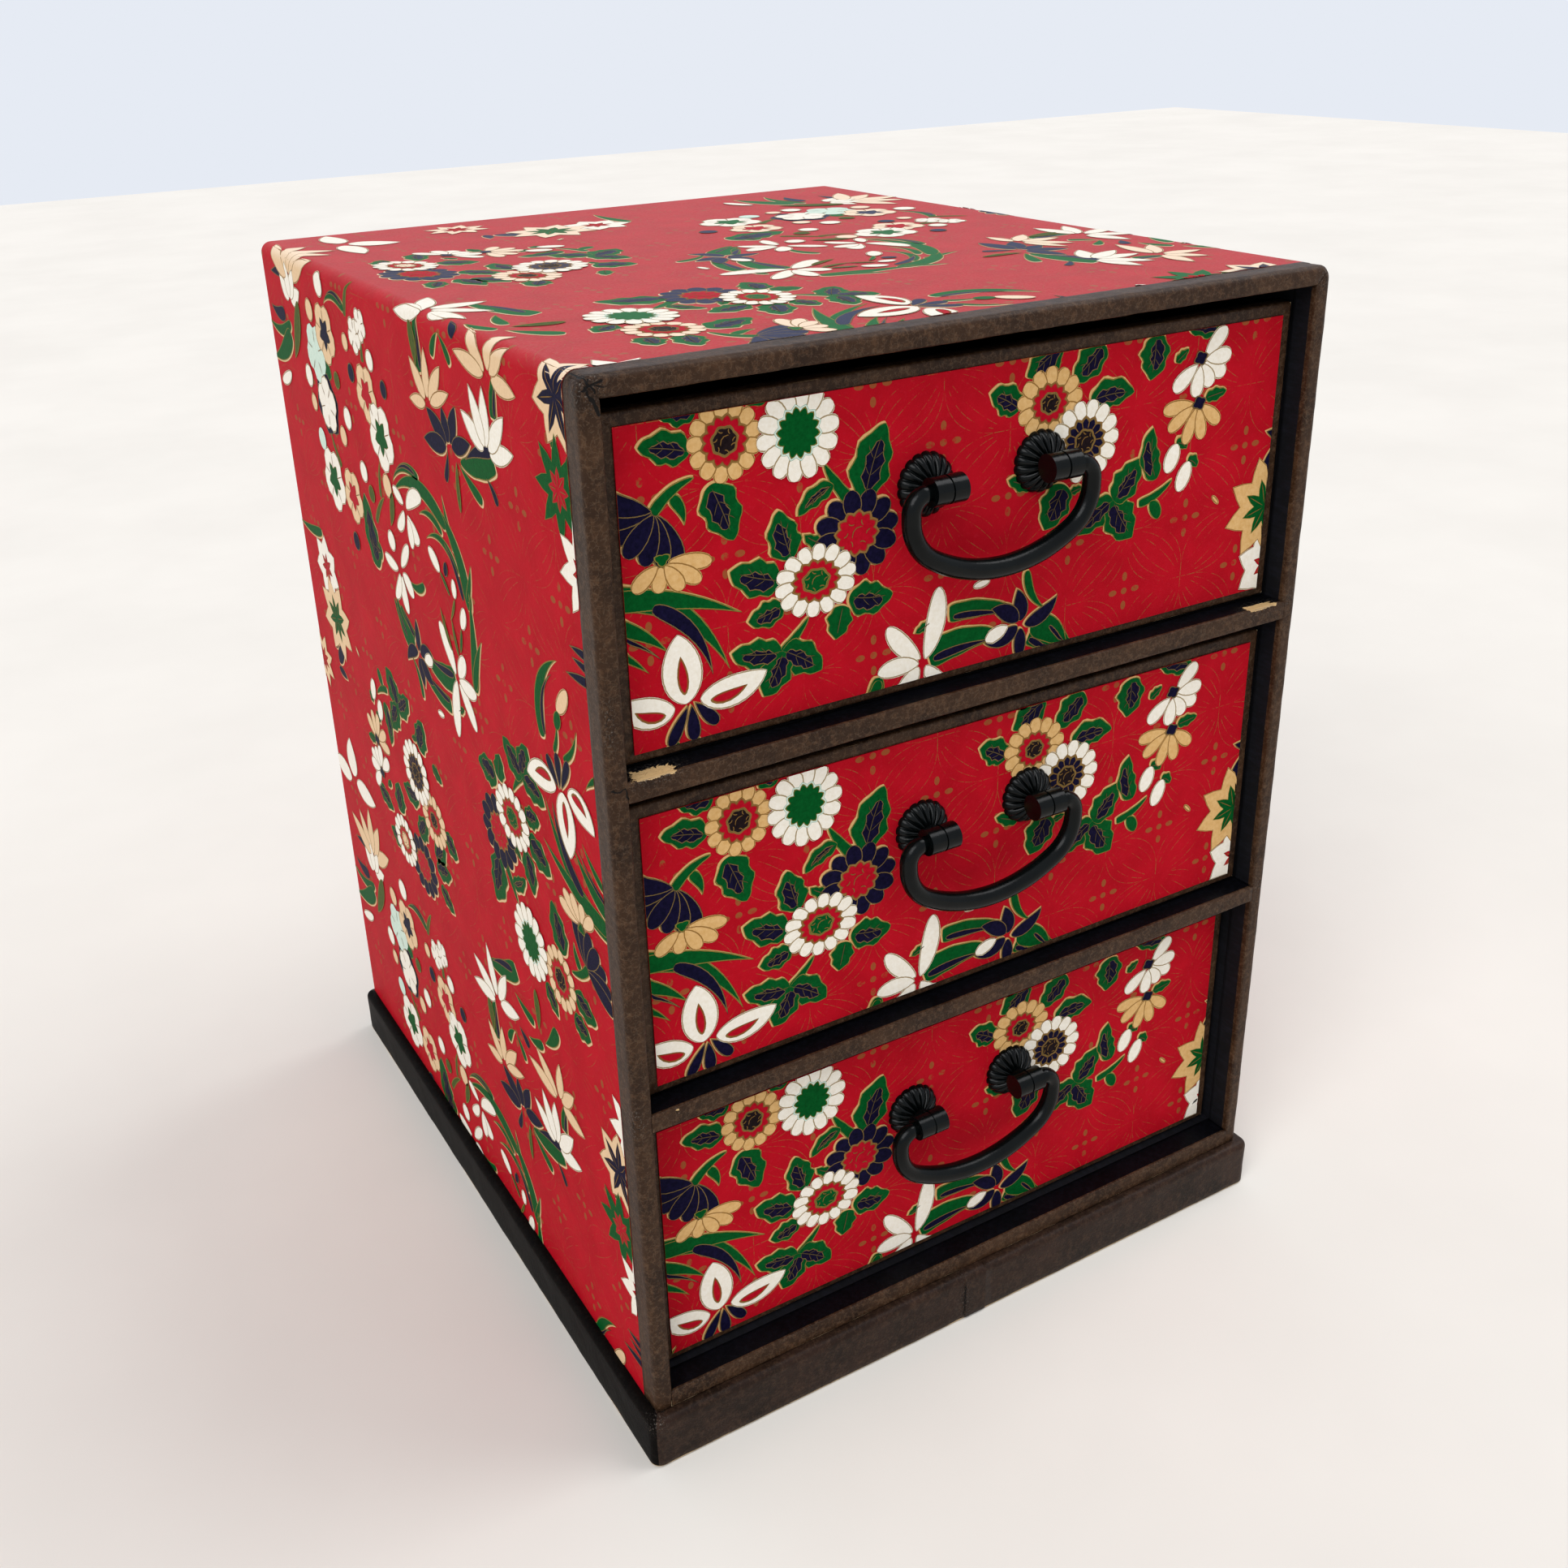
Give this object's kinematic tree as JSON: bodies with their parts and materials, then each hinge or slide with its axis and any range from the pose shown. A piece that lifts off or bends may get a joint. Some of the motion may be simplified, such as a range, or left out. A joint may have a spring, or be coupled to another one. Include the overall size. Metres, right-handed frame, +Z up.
{
  "type": "tabletop drawer chest",
  "caption": "Small tabletop chest of drawers covered in printed washi paper, with dark paper edges, a low plinth and iron bail pulls on fluted rosettes.",
  "frame": {"origin": "middle of the underside of the plinth, where the chest rests", "axes": "+Z up, -Y out of the drawer fronts, +X to the right seen from the front"},
  "size_m": [0.268, 0.3051, 0.362],
  "materials": {
    "board": "plain board",
    "washi": "screen-printed washi paper",
    "dark_paper": "creased dark brown paper",
    "lining_paper": "matt dark navy paper",
    "iron": "black satin iron",
    "steel": "plated"
  },
  "bodies": {
    "cabinet": {"left_side_board": "board", "right_side_board": "board", "top_board": "board", "bottom_board": "board", "back_board": "board", "upper_shelf_board": "board", "lower_shelf_board": "board", "washi_wrap": "washi", "back_washi": "washi", "left_edge_binding": "dark_paper", "right_edge_binding": "dark_paper", "top_edge_binding": "dark_paper", "bottom_edge_binding": "dark_paper", "upper_shelf_binding": "dark_paper", "lower_shelf_binding": "dark_paper", "top_bay_lining": "lining_paper", "middle_bay_lining": "lining_paper", "bottom_bay_lining": "lining_paper", "base_panel": "board", "base_cross_rails": "board", "base_side_rails": "board", "base_wrap": "dark_paper", "base_underside": "dark_paper"},
    "top_drawer": {"top_drawer_front_board": "board", "top_drawer_front_cover": "dark_paper", "top_drawer_front_washi": "washi", "top_drawer_lining": "lining_paper", "top_drawer_left_side": "board", "top_drawer_right_side": "board", "top_drawer_back": "board", "top_drawer_bottom": "board", "top_handle_rosettes": "iron", "top_handle_posts": "iron", "top_handle_nuts": "steel"},
    "top_handle": {"top_bail": "iron"},
    "middle_drawer": {"middle_drawer_front_board": "board", "middle_drawer_front_cover": "dark_paper", "middle_drawer_front_washi": "washi", "middle_drawer_lining": "lining_paper", "middle_drawer_left_side": "board", "middle_drawer_right_side": "board", "middle_drawer_back": "board", "middle_drawer_bottom": "board", "middle_handle_rosettes": "iron", "middle_handle_posts": "iron", "middle_handle_nuts": "steel"},
    "middle_handle": {"middle_bail": "iron"},
    "bottom_drawer": {"bottom_drawer_front_board": "board", "bottom_drawer_front_cover": "dark_paper", "bottom_drawer_front_washi": "washi", "bottom_drawer_lining": "lining_paper", "bottom_drawer_left_side": "board", "bottom_drawer_right_side": "board", "bottom_drawer_back": "board", "bottom_drawer_bottom": "board", "bottom_handle_rosettes": "iron", "bottom_handle_posts": "iron", "bottom_handle_nuts": "steel"},
    "bottom_handle": {"bottom_bail": "iron"}
  },
  "joints": [
    {"name": "top_drawer_slide", "type": "slide", "parent": "cabinet", "child": "top_drawer", "axis": [0, -1, 0], "range_m": [0, 0.2]},
    {"name": "top_handle_swing", "type": "hinge", "parent": "top_drawer", "child": "top_handle", "pos_m": [0, -0.1498, 0.3159], "axis": [-1, 0, 0], "range_deg": [-12, 180]},
    {"name": "middle_drawer_slide", "type": "slide", "parent": "cabinet", "child": "middle_drawer", "axis": [0, -1, 0], "range_m": [0, 0.2]},
    {"name": "middle_handle_swing", "type": "hinge", "parent": "middle_drawer", "child": "middle_handle", "pos_m": [0, -0.1498, 0.2039], "axis": [-1, 0, 0], "range_deg": [-12, 180]},
    {"name": "bottom_drawer_slide", "type": "slide", "parent": "cabinet", "child": "bottom_drawer", "axis": [0, -1, 0], "range_m": [0, 0.2]},
    {"name": "bottom_handle_swing", "type": "hinge", "parent": "bottom_drawer", "child": "bottom_handle", "pos_m": [0, -0.1463, 0.0919], "axis": [-1, 0, 0], "range_deg": [-12, 180]}
  ]
}
